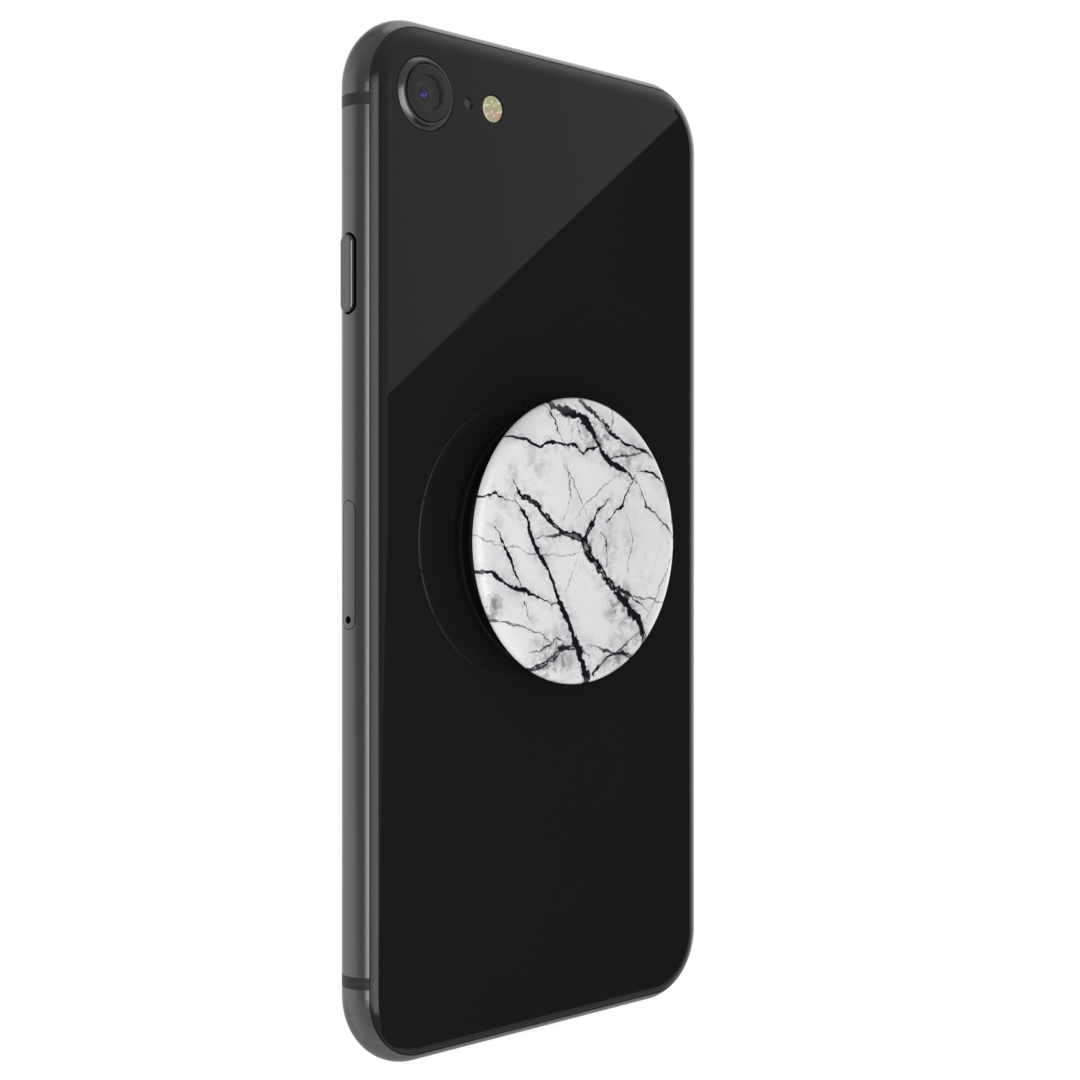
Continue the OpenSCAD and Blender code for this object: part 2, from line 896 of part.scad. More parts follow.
module charge_port() {
    color("#97999d") stand() on_bottom(0, port_deep) difference() {
        linear_extrude(port_deep - port_lip)
            stadium(port_w + 2 * port_shell, port_t + 2 * port_shell);
        translate([0, 0, port_back]) linear_extrude(port_deep) stadium(port_w, port_t);
    }
}

module port_tongue() {
    color("#202124") stand()
        plate([-tongue[0] / 2, tongue_y], tongue, -tongue[2] / 2, 0.3);
}

module port_contacts() {
    color("#d8b45a") stand() for (i = [-3.5:1:3.5], face = [-1, 1])
        translate([i * contact_pitch, contact_y + contact[1] / 2,
                   face * (tongue[2] + contact[2]) / 2]) cube(contact, center = true);
}

module bottom_screws() {
    color("#77797d") stand() for (s = [-1, 1]) on_bottom(s * screw_x, case_screw_seat) {
        translate([0, 0, -case_screw_len]) cylinder(r = case_screw_r, h = case_screw_len);
        difference() {
            cylinder(r = case_screw_head_r, h = case_screw_head_t);
            translate([0, 0, case_screw_head_t / 2]) linear_extrude(through) {
                circle(socket_r);
                for (a = [0:72:288]) rotate(a) translate([socket_lobe_at, 0])
                    circle(socket_lobe_r);
            }
        }
    }
}

module dock_flex() {
    left = -flex_w / 2;
    color("#b5651d") stand() translate([0, 0, floor_z]) linear_extrude(flex_t) {
        translate([left, port_deep]) square([flex_w, flex_y + flex_arm[1] - port_deep]);
        translate([left, flex_y]) square(flex_arm);
        translate([left + flex_arm[0] - flex_tail_w, flex_y])
            square([flex_tail_w, board_low - flex_y]);
    }
}

module charging_coil() {
    color("#b87333") stand() on_back(0, body_h / 2) for (i = [0:coil_turns - 1]) {
        r = coil_r + coil_pitch * i;
        tube(r + coil_turn_w, r, -glass_t - coil_t, -glass_t);
    }
}

module coil_ferrite() {
    color("#3f4043") stand() on_back(0, body_h / 2)
        disc(ferrite_r, -plate_z - half_t, -glass_t - coil_t);
}

// ---- grip ----

module on_grip() {
    stand() on_back(0, body_h / 2) children();
}

module grip_adhesive() {
    color("#2b2b2b") on_grip() disc(grip_base_r - pad_inset, 0, pad_t);
}

module grip_base() {
    color("#161617") on_grip() rotate_extrude() translate([0, pad_t])
        pill_half(grip_base_r, base_top - pad_t, base_edge);
}

// A shallow cone that stretches into one stage of the grip's neck.
module bellows(r_out, r_in, low, high) {
    rotate_extrude() polygon([
        [r_out, low], [r_out, low + bellows_t], [r_in, high], [r_in, high - bellows_t]
    ]);
}

module grip_lower_bellows() {
    color("#1a1a1b") on_grip()
        bellows(lower_r, mid_ring_r[1] + bellows_gap, base_top, lower_top);
}

module grip_mid_ring() {
    color("#1a1a1b") on_grip()
        tube(mid_ring_r[1], mid_ring_r[0], mid_ring_at[0], mid_ring_at[1]);
}

module grip_upper_bellows() {
    color("#1a1a1b") on_grip()
        bellows(mid_ring_r[0], button_flange_r + bellows_gap, upper_low, upper_top);
}

module grip_button() {
    color("#1a1a1b") on_grip() {
        disc(button_flange_r - turn_gap, button_foot_at[0], button_foot_at[1]);
        disc(button_r, button_foot_at[1] - weld, flange_low);
        disc(button_flange_r, flange_low - weld, flange_high);
    }
}

// The shell turns on the button, whose flange it holds in a groove.
module grip_top_shell() {
    color("#161617") on_grip() difference() {
        rotate_extrude() polygon([
            [0, top_low], [grip_r - shell_in[0], top_low], [grip_r - shell_in[1], insert_low],
            [0, insert_low]
        ]);
        disc(button_r + turn_gap, top_low - through, flange_low);
        disc(button_flange_r + turn_gap, flange_low - turn_gap, flange_high + turn_gap);
    }
}

module grip_top_insert() {
    color("#e4e4e8") on_grip() rotate_extrude() translate([0, insert_low])
        pill_half(grip_r, grip_h - insert_low, insert_edge);
}

frame_top();
frame_bottom();
frame_right_rail();
frame_left_rail();
antenna_bands();
chassis_plate();
rear_gasket();
rear_glass();
display_bezel();
display_shield();
display_panel();
cover_glass();
home_button();
home_button_ring();
earpiece_mesh();
earpiece_speaker();
front_camera();
camera_bezel();
camera_window();
camera_lens_barrel();
camera_lens();
camera_module();
camera_sensor();
flash_lens();
flash_led();
microphones();
side_button();
side_key_switch();
volume_up_button();
volume_down_button();
volume_key_switches();
mute_switch();
mute_slide_switch();
sim_tray();
sim_card();
sim_reader();
battery();
battery_adhesive();
logic_board();
board_shields();
bracket_screws();
vibration_motor();
vibration_mass();
loudspeaker();
acoustic_meshes();
charge_port();
port_tongue();
port_contacts();
bottom_screws();
dock_flex();
charging_coil();
coil_ferrite();
grip_adhesive();
grip_base();
grip_lower_bellows();
grip_mid_ring();
grip_upper_bellows();
grip_button();
grip_top_shell();
grip_top_insert();
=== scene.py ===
import math

import bmesh
import bpy
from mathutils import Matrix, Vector


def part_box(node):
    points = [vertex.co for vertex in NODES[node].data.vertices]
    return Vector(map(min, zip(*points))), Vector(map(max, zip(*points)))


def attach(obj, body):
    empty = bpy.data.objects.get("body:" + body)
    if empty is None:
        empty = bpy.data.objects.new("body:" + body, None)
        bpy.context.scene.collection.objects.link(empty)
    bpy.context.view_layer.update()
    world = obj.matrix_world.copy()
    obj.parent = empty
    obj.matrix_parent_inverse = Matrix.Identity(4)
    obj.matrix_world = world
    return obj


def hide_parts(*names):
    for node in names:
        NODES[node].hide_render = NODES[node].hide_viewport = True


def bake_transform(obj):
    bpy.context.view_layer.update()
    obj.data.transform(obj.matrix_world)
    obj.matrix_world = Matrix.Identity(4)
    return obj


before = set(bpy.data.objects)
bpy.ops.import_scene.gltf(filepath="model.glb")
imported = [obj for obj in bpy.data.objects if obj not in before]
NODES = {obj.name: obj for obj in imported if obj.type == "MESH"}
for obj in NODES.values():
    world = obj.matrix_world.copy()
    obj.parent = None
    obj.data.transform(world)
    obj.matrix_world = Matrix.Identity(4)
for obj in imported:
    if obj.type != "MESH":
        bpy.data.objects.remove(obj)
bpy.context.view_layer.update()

# A smartphone with a folding grip: materials, finer pieces, the photo's viewpoint and the studio.
MM = 0.001

# The phone without its keys and grip
FRAME_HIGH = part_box("frame_top")[1]
BODY_HEIGHT = FRAME_HIGH.z
REAR_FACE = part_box("rear_glass")[1].y
SCREEN_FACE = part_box("cover_glass")[0].y
BODY_MIDDLE = Vector((0, 0, BODY_HEIGHT / 2))

# The disc on top of the grip
DISC_LOW, DISC_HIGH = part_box("grip_top_insert")
DISC_RADIUS = (DISC_HIGH.z - DISC_LOW.z) / 2
GRIP_HEIGHT = (DISC_HIGH.z + DISC_LOW.z) / 2


def middle(node):
    """The middle of a node's box."""
    return sum(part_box(node), Vector()) / 2


CAMERA = middle("camera_window")
FLASH = middle("flash_lens")


# ---- node graphs ----


class Graph:
    """Short calls that add nodes to one node tree. A number, a colour or a socket may be an input."""

    def __init__(self, tree):
        self.tree = tree
        self.tree.nodes.clear()

    def node(self, kind, inputs=(), **settings):
        made = self.tree.nodes.new(kind)
        for name, value in settings.items():
            setattr(made, name, value)
        pairs = inputs.items() if isinstance(inputs, dict) else enumerate(inputs)
        for key, value in pairs:
            self.feed(made.inputs[key], value)
        return made

    def feed(self, socket, value):
        if isinstance(value, bpy.types.NodeSocket):
            self.tree.links.new(value, socket)
        else:
            socket.default_value = value

    def math(self, operation, *values):
        return self.node("ShaderNodeMath", values, operation=operation).outputs[0]

    def vector(self, operation, *values):
        made = self.node("ShaderNodeVectorMath", values, operation=operation)
        scalar = operation in ("DOT_PRODUCT", "LENGTH", "DISTANCE")
        return made.outputs["Value" if scalar else "Vector"]

    def scaled(self, vector, factor):
        made = self.node("ShaderNodeVectorMath", {0: vector, "Scale": factor}, operation="SCALE")
        return made.outputs["Vector"]

    def mix(self, factor, low, high):
        made = self.node("ShaderNodeMix", data_type="RGBA")
        for key, value in ((0, factor), (6, low), (7, high)):
            self.feed(made.inputs[key], value)
        return made.outputs[2]

    def step(self, value, low, high, out_low=0.0, out_high=1.0):
        """A smooth step of value between low and high."""
        inputs = (value, low, high, out_low, out_high)
        made = self.node("ShaderNodeMapRange", inputs, interpolation_type="SMOOTHSTEP")
        return made.outputs[0]

    def split(self, vector):
        return self.node("ShaderNodeSeparateXYZ", (vector,)).outputs

    def join(self, x=0.0, y=0.0, z=0.0):
        return self.node("ShaderNodeCombineXYZ", (x, y, z)).outputs[0]

    def place(self):
        """Coordinates on the object, in metres, that move with it."""
        return self.node("ShaderNodeTexCoord").outputs["Object"]

    def noise(self, where, size, detail=2.0, rough=0.5):
        """Smooth noise from 0 to 1 whose blotches are about size metres across."""
        inputs = {"Vector": where, "Scale": 1 / size, "Detail": detail, "Roughness": rough}
        return self.node("ShaderNodeTexNoise", inputs).outputs["Fac"]

    def cells(self, where, size, output="Distance"):
        """Cells about size metres across: the distance from each one's middle, or its own colour."""
        inputs = {"Vector": where, "Scale": 1 / size}
        return self.node("ShaderNodeTexVoronoi", inputs).outputs[output]

    def bump(self, height, depth, strength):
        inputs = {"Height": height, "Distance": depth, "Strength": strength}
        return self.node("ShaderNodeBump", inputs).outputs[0]

    def ramp(self, value, *stops):
        """Colours along value from 0 to 1: each stop is (position, colour or grey level)."""
        made = self.node("ShaderNodeValToRGB", (value,))
        points = made.color_ramp.elements
        while len(points) < len(stops):
            points.new(1.0)
        for point, (position, colour) in zip(points, stops):
            point.position = position
            point.color = grey(colour) if isinstance(colour, float) else colour
        return made.outputs[0]


def grey(level):
    return (level, level, level, 1.0)


def shade(colour, factor):
    return tuple(channel * factor for channel in colour[:3]) + (1.0,)


def material(name, **sockets):
    """A material with one Principled shader, whose sockets are set directly. Returns its graph too."""
    made = bpy.data.materials.new(name)
    made.use_nodes = True
    graph = Graph(made.node_tree)
    shader = graph.node("ShaderNodeBsdfPrincipled")
    output = graph.node("ShaderNodeOutputMaterial")
    graph.tree.links.new(shader.outputs[0], output.inputs["Surface"])
    for key, value in sockets.items():
        shader.inputs[key.replace("_", " ")].default_value = value
    return made, graph, shader.inputs


def finish_with(graph, inputs, **sockets):
    """Feeds the shader's sockets, by their names with _ for a space."""
    for key, value in sockets.items():
        graph.feed(inputs[key.replace("_", " ")], value)


# ---- materials ----


def anodised(name, colour, rough, grain=0.05 * MM, relief=0.2):
    """Bead-blasted and anodised aluminium: fine grain, faint clouding of the dye."""
    made, g, inputs = material(name, Metallic=1.0, Specular_Tint=grey(0.78))
    place = g.place()
    fine = g.noise(place, grain, 3)
    cloud = g.noise(place, 9 * MM, 2)
    tone = g.math("MULTIPLY_ADD", cloud, 0.12, 0.94)
    speck = g.math("MULTIPLY_ADD", fine, 0.16, 0.92)
    base = g.mix(g.math("MULTIPLY", tone, speck), grey(0.0), colour)
    roughness = g.math("MULTIPLY_ADD", fine, 0.1, rough - 0.05)
    finish_with(g, inputs, Base_Color=base, Roughness=roughness,
                Normal=g.bump(fine, 0.002 * MM, relief))
    return made


def moulded(name, colour, rough, grain=0.12 * MM, relief=0.004 * MM, variation=0.18, ior=1.5):
    """Moulded plastic or elastomer with a fine spark-eroded texture."""
    made, g, inputs = material(name, IOR=ior)
    place = g.place()
    fine = g.noise(place, grain, 4, 0.6)
    wide = g.noise(place, 6 * MM, 2)
    base = g.mix(wide, shade(colour, 1 - variation), shade(colour, 1 + variation))
    roughness = g.math("MULTIPLY_ADD", fine, 0.16, rough - 0.08)
    finish_with(g, inputs, Base_Color=base, Roughness=roughness, Normal=g.bump(fine, relief, 0.6))
    return made


def glass_black(name, colour, smear=0.03):
    """Polished glass over black ink, whose gloss varies faintly where it was wiped."""
    made, g, inputs = material(name, IOR=1.5, Specular_IOR_Level=0.5)
    place = g.place()
    stretched = g.vector("MULTIPLY", place, (1.0, 1.0, 0.35))
    wiped = g.noise(stretched, 14 * MM, 4, 0.6)
    roughness = g.step(wiped, 0.45, 0.75, 0.012, 0.012 + smear)
    depth = g.noise(place, 20 * MM, 1)
    base = g.mix(depth, shade(colour, 0.96), shade(colour, 1.04))
    finish_with(g, inputs, Base_Color=base, Roughness=roughness)
    return made


def brushed(name, colour, rough):
    """Rolled or brushed metal with fine lines along Z."""
    made, g, inputs = material(name, Metallic=1.0)
    lines = g.noise(g.vector("DIVIDE", g.place(), (1.0, 1.0, 24.0)), 0.04 * MM, 3, 0.6)
    base = g.mix(lines, shade(colour, 0.86), shade(colour, 1.1))
    roughness = g.math("MULTIPLY_ADD", lines, 0.18, rough - 0.09)
    finish_with(g, inputs, Base_Color=base, Roughness=roughness,
                Normal=g.bump(lines, 0.003 * MM, 0.5))
    return made


def woven(name, colour, pitch):
    """Fine wire mesh: crossed round wires, with painted shade in the holes between them and along the
    wires' rounded flanks.
    """
    made, g, inputs = material(name, Metallic=0.9)
    x, y, z = g.split(g.place())
    wave = math.pi / pitch
    across, along = [g.math("ABSOLUTE", g.math("SINE", g.math("MULTIPLY", axis, wave)))
                     for axis in (x, g.math("ADD", y, z))]
    wire = g.math("MAXIMUM", g.math("MULTIPLY", across, 0.72), along)
    height = g.math("POWER", wire, 2.0)
    # Painted shade: the holes and the wires' flanks are darkened to 4% of the wire colour.
    base = g.mix(g.step(wire, 0.6, 0.95), shade(colour, 0.04), colour)
    finish_with(g, inputs, Base_Color=base, Roughness=0.42,
                Normal=g.bump(height, 0.03 * MM, 0.8))
    return made


# Veins of the marble, as fractions of the disc's radius: right and up as seen from behind.
# Each is (how dark, how wide, how broken up, its points).
VEINS = (
    (0.95, 0.030, 0.8, ((-.70, .42), (-.62, .32), (-.50, .25), (-.38, .17), (-.20, .06), (0, .02))),
    (0.95, 0.026, 0.8, ((0, .02), (.08, .13), (.16, .22), (.25, .30))),
    (1.00, 0.042, 1.0, ((0, .02), (.08, -.12), (.19, -.22), (.30, -.33), (.41, -.42))),
    (1.00, 0.046, 0.7, ((.41, -.42), (.50, -.50), (.57, -.58), (.66, -.74))),
    (0.95, 0.022, 0.5, ((-.66, .30), (-.56, .14), (-.48, -.02), (-.40, -.14))),
    (1.00, 0.020, 0.2, ((-.40, -.14), (-.33, -.26), (-.24, -.42))),
    (1.00, 0.030, 0.1, ((-.24, -.42), (-.16, -.58), (-.10, -.68))),
    (1.00, 0.042, 0.2, ((-.10, -.68), (-.04, -.80), (.06, -1.0))),
    (0.95, 0.018, 0.3, ((-.86, .10), (-.80, .02), (-.72, -.12), (-.64, -.26), (-.60, -.36))),
    (0.90, 0.016, 0.4, ((-.58, -.40), (-.54, -.50), (-.50, -.57))),
    (1.00, 0.046, 0.6, ((-.30, .93), (-.18, .90), (-.06, .86), (.04, .80))),
    (1.00, 0.030, 0.7, ((.04, .80), (.12, .70), (.19, .62), (.26, .58), (.38, .52), (.50, .44))),
    (0.90, 0.018, 0.4, ((.52, .46), (.47, .36), (.40, .26), (.30, .20), (.24, .12))),
    (0.95, 0.014, 0.3, ((-.70, .70), (-.54, .68), (-.44, .65), (-.34, .69), (-.22, .67), (-.10, .68),
                        (.0, .62), (.08, .65), (.20, .66))),
    (0.80, 0.030, 1.0, ((-.02, .97), (.10, .90), (.20, .84), (.26, .78))),
    (0.85, 0.016, 0.5, ((.26, .78), (.38, .71), (.50, .68), (.62, .66), (.74, .61))),
    (0.60, 0.018, 0.8, ((.26, .60), (.38, .60), (.50, .62), (.62, .65))),
    (0.90, 0.016, 0.4, ((.54, .48), (.66, .49), (.76, .46), (.86, .44))),
    (0.80, 0.016, 0.5, ((.86, .44), (.92, .30), (.96, .12))),
    (0.60, 0.012, 0.6, ((.52, .44), (.60, .34), (.66, .24), (.74, .20), (.86, .10), (.97, .02))),
    (0.85, 0.018, 0.6, ((-.99, -.20), (-.88, -.21), (-.78, -.26), (-.70, -.31), (-.60, -.32))),
    (0.95, 0.016, 0.3, ((-.60, -.32), (-.50, -.35), (-.42, -.40), (-.34, -.44), (-.25, -.43))),
    (0.80, 0.014, 0.5, ((-.97, .29), (-.86, .31), (-.78, .28), (-.68, .29))),
    (0.60, 0.016, 0.9, ((-.46, .02), (-.34, .03), (-.20, .05), (-.02, .02))),
    (0.60, 0.010, 0.6, ((-.36, .94), (-.26, .78), (-.20, .66))),
    (0.70, 0.010, 0.4, ((-.10, .82), (-.12, .74), (-.16, .66))),
    (0.70, 0.010, 0.4, ((-.08, .82), (-.03, .72), (.02, .66))),
    (0.75, 0.018, 0.7, ((.16, .07), (.22, .02), (.25, -.10), (.23, -.18))),
    (0.70, 0.016, 0.6, ((.22, -.28), (.36, -.32), (.48, -.38), (.58, -.44), (.66, -.50))),
    (0.70, 0.030, 1.0, ((-.50, -.90), (-.36, -.82), (-.22, -.74), (-.10, -.74), (.06, -.80))),
    (0.65, 0.020, 0.9, ((-.52, -.76), (-.38, -.72), (-.28, -.66), (-.18, -.70))),
    (0.75, 0.026, 0.9, ((.10, -.94), (.18, -.86), (.28, -.80), (.40, -.80), (.56, -.84))),
    (0.60, 0.016, 0.8, ((.02, -.72), (.16, -.74), (.30, -.80))),
    (0.50, 0.012, 0.7, ((.30, -.80), (.44, -.74), (.56, -.66), (.62, -.62))),
    (0.45, 0.012, 0.8, ((-.86, -.52), (-.62, -.58), (-.44, -.62), (-.30, -.70))),
    (0.34, 0.008, 0.5, ((-.20, .60), (-.14, .44), (-.04, .30), (.06, .12))),
    (0.28, 0.008, 0.5, ((-.10, .14), (.04, .28), (.24, .42), (.40, .50))),
    (0.30, 0.008, 0.5, ((-.20, .12), (-.14, .30), (-.16, .48), (-.24, .62))),
    (0.26, 0.007, 0.5, ((-.99, .04), (-.80, -.02), (-.62, -.06), (-.30, -.10), (.02, -.08))),
    (0.30, 0.007, 0.5, ((-.06, -.10), (-.14, -.26), (-.22, -.38))),
    (0.34, 0.010, 0.8, ((.30, -.30), (.46, -.38), (.68, -.40), (.90, -.48))),
    (0.30, 0.007, 0.5, ((.62, -.60), (.80, -.34), (.96, -.08))),
    (0.40, 0.010, 0.8, ((.44, .20), (.50, .02), (.46, -.14), (.44, -.26))),
    (0.45, 0.010, 0.6, ((.34, .96), (.30, .86), (.26, .72))),
    (0.35, 0.008, 0.5, ((.62, .64), (.60, .56), (.56, .50))),
)
# Smoky patches: (centre, radius, how dark)
SMOKE = (
    ((.40, -.47), .25, 1.0),
    ((-.88, -.44), .18, 0.85),
    ((-.46, .54), .22, 0.30),
    ((.28, -.04), .20, 0.32),
    ((-.30, -.80), .30, 0.80),
    ((.36, -.82), .24, 0.75),
    ((.14, .72), .24, 0.80),
    ((.44, .62), .22, 0.60),
    ((-.78, .20), .18, 0.25),
    ((-.38, .00), .22, 0.28),
    ((.58, -.74), .20, 0.75),
    ((.46, .00), .20, 0.28),
    ((.02, .02), .12, 0.60),
    ((-.70, .46), .14, 0.22),
)


def vein_distance(g, point, line):
    """Distance from point to a line of straight runs."""
    nearest = None
    for start, end in zip(line, line[1:]):
        run = (end[0] - start[0], end[1] - start[1], 0.0)
        squared = run[0] ** 2 + run[1] ** 2
        offset = g.vector("SUBTRACT", point, (*start, 0.0))
        along = g.vector("DOT_PRODUCT", offset, (run[0] / squared, run[1] / squared, 0.0))
        along = g.math("MINIMUM", g.math("MAXIMUM", along, 0.0), 1.0)
        distance = g.vector("DISTANCE", offset, g.scaled(run, along))
        nearest = distance if nearest is None else g.math("MINIMUM", nearest, distance)
    return nearest


def pinch(g, point, line):
    """Narrows a line towards the ends that join no other line."""
    level = 1.0
    for tip in (line[0], line[-1]):
        joined = sum(tip in other[3] for other in VEINS) > 1
        if not joined and math.hypot(*tip) < 0.93:
            away = g.vector("DISTANCE", point, (*tip, 0.0))
            level = g.math("MULTIPLY", level, g.step(away, 0.0, 0.26, 0.25, 1.0))
    return level


def shifted(g, point, scale, amount, detail=4.0):
    """The point pushed about by noise, for veins that wander."""
    inputs = {"Vector": point, "Scale": scale, "Detail": detail, "Roughness": 0.6}
    wobble = g.node("ShaderNodeTexNoise", inputs).outputs["Color"]
    drift = g.scaled(g.vector("SUBTRACT", wobble, (0.5, 0.5, 0.5)), amount)
    return g.vector("MULTIPLY", g.vector("ADD", point, drift), (1.0, 1.0, 0.0))


def marble():
    """Glossy printed marble: white with grey clouds, near-black broken veins and smoky patches.

    Every place and size in it is a fraction of the disc's radius.
    """
    made, g, inputs = material("grip_marble_gloss", IOR=1.5, Coat_Weight=0.35,
                               Coat_Roughness=0.1)
    x, _, z = g.split(g.place())
    right = g.math("DIVIDE", x, -DISC_RADIUS)
    up = g.math("DIVIDE", g.math("SUBTRACT", z, GRIP_HEIGHT), DISC_RADIUS)
    point = g.join(right, up)
    bent = shifted(g, shifted(g, point, 5.0, 0.12), 26.0, 0.035, 3.0)

    patchy = g.step(g.noise(point, 0.11, 4, 0.6), 0.3, 0.62, 0.45, 1.25)
    grit = g.math("SUBTRACT", g.noise(point, 0.032, 3, 0.65), 0.5)
    hollow = g.step(g.noise(bent, 0.085, 3, 0.6), 0.44, 0.55)
    veins, halo = 0.0, 0.0
    for dark, width, broken, line in VEINS:
        distance = vein_distance(g, bent, line)
        wide = g.math("MULTIPLY", g.math("MULTIPLY", patchy, pinch(g, bent, line)), width * 0.7)
        across = g.math("DIVIDE", distance, wide)
        ragged = g.math("MULTIPLY_ADD", grit, 2.4 * broken, across)
        stroke = g.step(ragged, 0.7, 1.15, dark, 0.0)
        if broken > 0.7:
            core = g.math("MULTIPLY", g.step(ragged, 0.15, 0.6, 0.8 * broken, 0.0), hollow)
            stroke = g.math("MULTIPLY", stroke, g.math("SUBTRACT", 1.0, core))
        veins = g.math("MAXIMUM", veins, stroke)
        if dark > 0.55:
            halo = g.math("MAXIMUM", halo, g.step(distance, 0.0, width * 3.2 + 0.03, dark, 0.0))

    smoke = 0.0
    for centre, radius, dark in SMOKE:
        distance = g.vector("DISTANCE", bent, (*centre, 0.0))
        smoke = g.math("MAXIMUM", smoke, g.step(distance, 0.0, radius, dark, 0.0))
    wisps = g.math("ABSOLUTE", g.math("SUBTRACT", g.noise(bent, 0.30, 5, 0.6), 0.5))
    thread = g.step(wisps, 0.0, 0.02, 1.0, 0.0)
    smoke = g.math("MULTIPLY", smoke, g.step(g.noise(bent, 0.08, 6, 0.66), 0.42, 0.60))
    halo = g.math("MULTIPLY", halo, g.step(g.noise(bent, 0.05, 5, 0.65), 0.42, 0.70, 0.02, 0.62))

    clouds = g.noise(bent, 0.55, 4, 0.55)
    white = g.ramp(clouds, (0.30, (0.63, 0.63, 0.655, 1)), (0.46, (0.76, 0.76, 0.77, 1)),
                   (0.66, (0.79, 0.79, 0.795, 1)))
    faint = g.math("MULTIPLY", thread, g.step(g.noise(point, 0.5, 2), 0.5, 0.7, 0.0, 0.2))
    violet = (0.17, 0.165, 0.205, 1.0)
    ink = (0.008, 0.007, 0.013, 1.0)
    colour = g.mix(faint, white, violet)
    colour = g.mix(halo, colour, violet)
    colour = g.mix(smoke, colour, shade(violet, 0.35))
    kept = g.math("POWER", g.math("SUBTRACT", 1.0, veins), 3.0)
    colour = g.mix(kept, ink, colour)
    finish_with(g, inputs, Base_Color=colour,
                Roughness=g.math("MULTIPLY_ADD", g.noise(point, 0.4), 0.06, 0.17))
    return made


def flash_pearl():
    """Two-tone flash: a greenish half over a pinkish one, with pale chips under a faceted lens, and
    painted highlights: bright streaks, a rim lit brighter towards +X, and facet sparkle.
    """
    made, g, inputs = material("flash_pearl", IOR=1.5, Coat_Weight=1.0, Coat_Roughness=0.04)
    x, _, z = g.split(g.place())
    across = g.math("SUBTRACT", x, FLASH.x)
    up = g.math("SUBTRACT", z, FLASH.z)
    point = g.join(across, up)
    facets = g.cells(point, 0.36 * MM, output="Color")
    mottle = g.noise(point, 0.3 * MM, 4, 0.7)
    upper = g.mix(mottle, (0.24, 0.26, 0.09, 1), (0.56, 0.56, 0.31, 1))
    lower = g.mix(mottle, (0.28, 0.18, 0.12, 1), (0.58, 0.46, 0.34, 1))
    border = g.math("MULTIPLY_ADD", g.math("SUBTRACT", mottle, 0.5), 0.5 * MM, up)
    lower = g.mix(g.step(border, -1.5 * MM, -1.0 * MM, 0.6, 0.0), lower, upper)
    colour = g.mix(g.step(border, -0.12 * MM, 0.12 * MM), lower, upper)
    # Painted sparkle: each facet made a little lighter or darker, as if catching the light
    # differently.
    facet_sparkle_tint = g.vector("MULTIPLY_ADD", facets, (0.26, 0.24, 0.26), (0.86, 0.88, 0.84))
    colour = g.vector("MULTIPLY", colour, facet_sparkle_tint)
    # Pale LED chips, then painted highlights: bright slanting streaks, placed in mm from the middle
    glow = 0.0
    for side, height in ((0.25, 0.92), (-0.16, 0.46), (0.22, -0.44), (-0.19, -0.89)):
        away = g.vector("DISTANCE", point, (side * MM, height * MM, 0.0))
        glow = g.math("MAXIMUM", glow, g.step(away, 0.04 * MM, 0.24 * MM, 1.0, 0.0))
    for height, reach in ((0.60, -1.3), (-0.60, -1.3), (0.72, 1.3), (-0.52, 1.3)):
        slant = g.math("MULTIPLY_ADD", across, 0.3, g.math("SUBTRACT", up, height * MM))
        painted_streak = g.step(g.math("ABSOLUTE", slant), 0.0, 0.24 * MM, 0.75, 0.0)
        reached = g.step(across, 0.1 * reach * MM, reach * MM)
        glow = g.math("MAXIMUM", glow, g.math("MULTIPLY", painted_streak, reached))
    # Painted highlight: the rim brighter on the side towards +X, where the softbox stands.
    rim = g.step(g.vector("LENGTH", point), 1.5 * MM, 1.78 * MM, 0.0, 0.5)
    glow = g.math("MAXIMUM", glow, g.math("MULTIPLY", rim, g.step(across, -0.6 * MM, 1.2 * MM)))
    # The pale chips and the painted highlights are mixed into the base colour.
    colour = g.mix(g.math("MULTIPLY", glow, 0.85), colour, (0.90, 0.86, 0.72, 1))
    relief = g.math("ADD", g.cells(point, 0.36 * MM), g.math("MULTIPLY", mottle, 0.5))
    finish_with(g, inputs, Base_Color=colour, Roughness=g.math("MULTIPLY_ADD", mottle, 0.1, 0.2),
                Normal=g.bump(relief, 0.05 * MM, 0.5))
    return made


def cover_glass():
    """Cover glass: black border ink, a greyer display, and the front camera's ring and dot."""
    made, g, inputs = material("cover_glass_black", IOR=1.5)
    place = g.place()
    x, _, z = g.split(place)
    low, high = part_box("display_panel")
    wide = g.math("SUBTRACT", g.math("ABSOLUTE", x), high.x)
    tall = g.math("SUBTRACT", g.math("ABSOLUTE", g.math("SUBTRACT", z, (low.z + high.z) / 2)),
                  (high.z - low.z) / 2)
    display = g.step(g.math("MAXIMUM", wide, tall), -0.05 * MM, 0.05 * MM, 1.0, 0.0)
    lens = middle("front_camera")
    away = g.vector("DISTANCE", g.vector("MULTIPLY", place, (1.0, 0.0, 1.0)), (lens.x, 0.0, lens.z))
    ring = g.step(g.math("ABSOLUTE", g.math("SUBTRACT", away, 1.25 * MM)), 0.0, 0.3 * MM, 1.0, 0.0)
    pupil = g.step(away, 0.45 * MM, 0.75 * MM, 1.0, 0.0)
    dust = g.noise(place, 0.8 * MM, 3, 0.6)
    ink = g.mix(dust, grey(0.0050), grey(0.0062))
    panel = g.mix(dust, (0.0088, 0.0092, 0.0112, 1), (0.0104, 0.0108, 0.0130, 1))
    colour = g.mix(display, ink, panel)
    colour = g.mix(g.math("MULTIPLY", ring, 0.8), colour, grey(0.022))
    colour = g.mix(pupil, colour, (0.012, 0.010, 0.045, 1))
    wiped = g.noise(g.vector("MULTIPLY", place, (1.0, 1.0, 0.35)), 14 * MM, 4, 0.6)
    finish_with(g, inputs, Base_Color=colour, Roughness=g.step(wiped, 0.45, 0.75, 0.012, 0.045))
    return made


